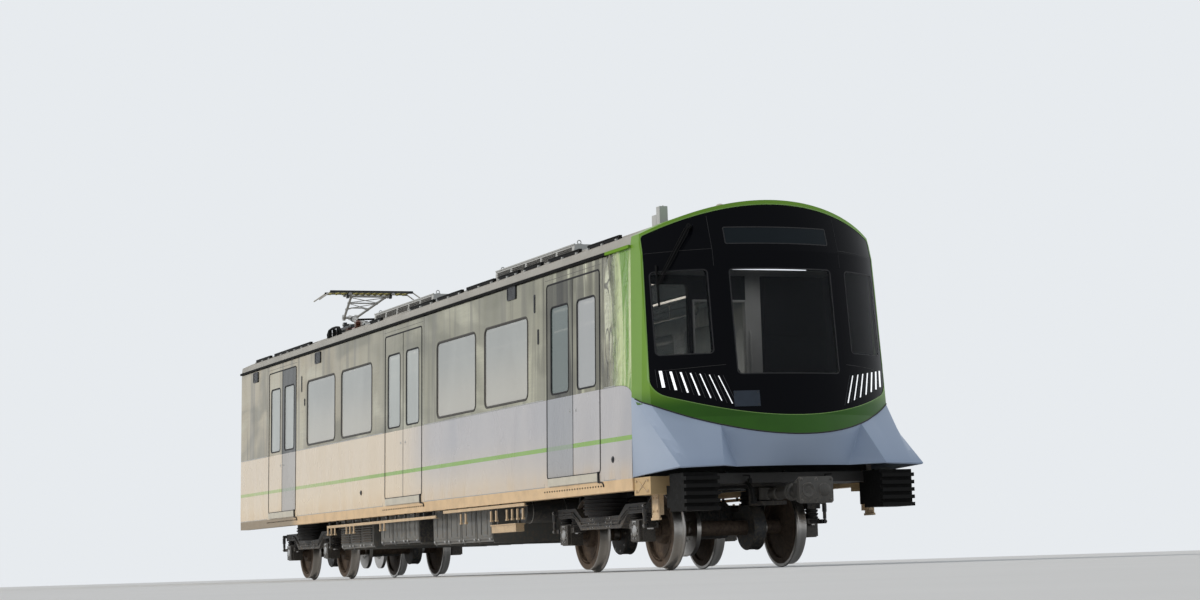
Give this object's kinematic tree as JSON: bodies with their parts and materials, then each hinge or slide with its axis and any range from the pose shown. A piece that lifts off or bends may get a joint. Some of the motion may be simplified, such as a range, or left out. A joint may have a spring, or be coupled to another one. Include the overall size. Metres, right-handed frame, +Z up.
{
  "type": "metro car",
  "caption": "Metro car with a driver's cab, double plug doors, a single-arm pantograph, two powered bogies and an open gangway at the rear.",
  "frame": {"origin": "on the ground under the middle of the car, level with the tips of the wheel flanges", "axes": "+X along the car to the driver's cab, +Y to the car's left side, +Z up"},
  "size_m": [19.36, 2.98, 4.6702],
  "materials": {
    "steel_skin": "satin",
    "white_paint": "gloss",
    "green_paint": "gloss",
    "skirt_paint": "satin",
    "roof_paint": "matte",
    "dark_trim": "satin",
    "mask_black": "gloss",
    "window_glass": "gloss",
    "screen_glass": "gloss",
    "display_screen": "gloss",
    "lamp_lens": "gloss",
    "bellows_rubber": "matte",
    "air_spring_rubber": "matte",
    "underframe_paint": "matte",
    "sill_paint": "satin",
    "equipment_paint": "matte",
    "bogie_paint": "matte",
    "wheel_steel": "satin",
    "coupler_steel": "satin",
    "aluminium_tube": "satin",
    "roof_unit_paint": "matte",
    "seat_shell": "satin",
    "pole_steel": "polished",
    "lining_panel": "matte",
    "floor_covering": "matte",
    "desk_plastic": "matte",
    "seat_fabric": "matte"
  },
  "bodies": {
    "car_body": {"side_walls": "steel_skin", "side_windows": "window_glass", "door_leaves": "steel_skin", "door_windows": "window_glass", "door_steps": "dark_trim", "roof_shell": "roof_paint", "roof_gutters": "dark_trim", "cab_shell": "green_paint", "front_mask": "mask_black", "windscreens": "screen_glass", "destination_display": "display_screen", "lamp_strips": "lamp_lens", "front_skirt": "skirt_paint", "underframe": "sill_paint", "cab_underframe": "sill_paint", "anti_climbers": "dark_trim", "floor_panel": "floor_covering", "rear_end_wall": "white_paint", "gangway_bellows": "bellows_rubber", "cab_bulkhead": "lining_panel", "saloon_seats": "seat_shell", "grab_poles": "pole_steel", "ceiling_lining": "lining_panel", "driver_desk": "desk_plastic", "driver_seat": "seat_fabric", "air_conditioners": "roof_unit_paint", "antenna_boxes": "roof_unit_paint", "pantograph_base": "aluminium_tube", "draw_gear_pockets": "underframe_paint", "traction_inverter": "equipment_paint", "battery_case": "equipment_paint", "brake_resistor": "equipment_paint", "air_tanks": "underframe_paint"},
    "pantograph_lower_arm": {"pantograph_lower_arm": "aluminium_tube"},
    "pantograph_upper_arm": {"pantograph_upper_arm": "aluminium_tube"},
    "pantograph_head": {"pantograph_head": "dark_trim"},
    "windscreen_wiper": {"windscreen_wiper": "dark_trim"},
    "coupler_front": {"coupler_front": "coupler_steel"},
    "drawbar_rear": {"drawbar_rear": "coupler_steel"},
    "bogie_front": {"bogie_frame_front": "bogie_paint", "axle_boxes_front": "bogie_paint", "air_springs_front": "air_spring_rubber", "traction_motors_front": "equipment_paint", "brake_callipers_front": "bogie_paint"},
    "wheelset_front_leading": {"wheelset_front_leading": "wheel_steel"},
    "wheelset_front_trailing": {"wheelset_front_trailing": "wheel_steel"},
    "bogie_rear": {"bogie_frame_rear": "bogie_paint", "axle_boxes_rear": "bogie_paint", "air_springs_rear": "air_spring_rubber", "traction_motors_rear": "equipment_paint", "brake_callipers_rear": "bogie_paint"},
    "wheelset_rear_leading": {"wheelset_rear_leading": "wheel_steel"},
    "wheelset_rear_trailing": {"wheelset_rear_trailing": "wheel_steel"}
  },
  "joints": [
    {"name": "bogie_front_yaw", "type": "hinge", "parent": "car_body", "child": "bogie_front", "pos_m": [6.23, 0, 0.8], "axis": [0, 0, 1], "range_deg": [-4, 4]},
    {"name": "wheelset_front_leading_spin", "type": "hinge", "parent": "bogie_front", "child": "wheelset_front_leading", "pos_m": [7.33, 0, 0.458], "axis": [0, 1, 0], "continuous": true},
    {"name": "wheelset_front_trailing_spin", "type": "hinge", "parent": "bogie_front", "child": "wheelset_front_trailing", "pos_m": [5.13, 0, 0.458], "axis": [0, 1, 0], "continuous": true},
    {"name": "bogie_rear_yaw", "type": "hinge", "parent": "car_body", "child": "bogie_rear", "pos_m": [-6.37, 0, 0.8], "axis": [0, 0, 1], "range_deg": [-4, 4]},
    {"name": "wheelset_rear_leading_spin", "type": "hinge", "parent": "bogie_rear", "child": "wheelset_rear_leading", "pos_m": [-5.27, 0, 0.458], "axis": [0, 1, 0], "continuous": true},
    {"name": "wheelset_rear_trailing_spin", "type": "hinge", "parent": "bogie_rear", "child": "wheelset_rear_trailing", "pos_m": [-7.47, 0, 0.458], "axis": [0, 1, 0], "continuous": true},
    {"name": "coupler_swing", "type": "hinge", "parent": "car_body", "child": "coupler_front", "pos_m": [8.5, 0, 0.8], "axis": [0, 0, 1], "range_deg": [-15, 15]},
    {"name": "drawbar_swing", "type": "hinge", "parent": "car_body", "child": "drawbar_rear", "pos_m": [-8.9, 0, 0.8], "axis": [0, 0, 1], "range_deg": [-12, 12]},
    {"name": "wiper_sweep", "type": "hinge", "parent": "car_body", "child": "windscreen_wiper", "pos_m": [8.79218, -0.97406, 3.69173], "axis": [0.8119, -0.5758, 0.0966], "range_deg": [0, 45]},
    {"name": "pantograph_raise", "type": "hinge", "parent": "car_body", "child": "pantograph_lower_arm", "pos_m": [-6.31, 0, 4.12], "axis": [0, 1, 0], "range_deg": [-9, 38]},
    {"name": "pantograph_knee", "type": "hinge", "parent": "pantograph_lower_arm", "child": "pantograph_upper_arm", "pos_m": [-7.43487, 0, 4.3591], "axis": [0, 1, 0], "range_deg": [-76, 18]},
    {"name": "pantograph_apex", "type": "hinge", "parent": "pantograph_upper_arm", "child": "pantograph_head", "pos_m": [-6.31, 0, 4.5982], "axis": [0, 1, 0], "range_deg": [-9, 38]}
  ],
  "couplings": [
    {"joint": "pantograph_knee", "follows": "pantograph_raise", "ratio": -2},
    {"joint": "pantograph_apex", "follows": "pantograph_raise", "ratio": 1}
  ]
}
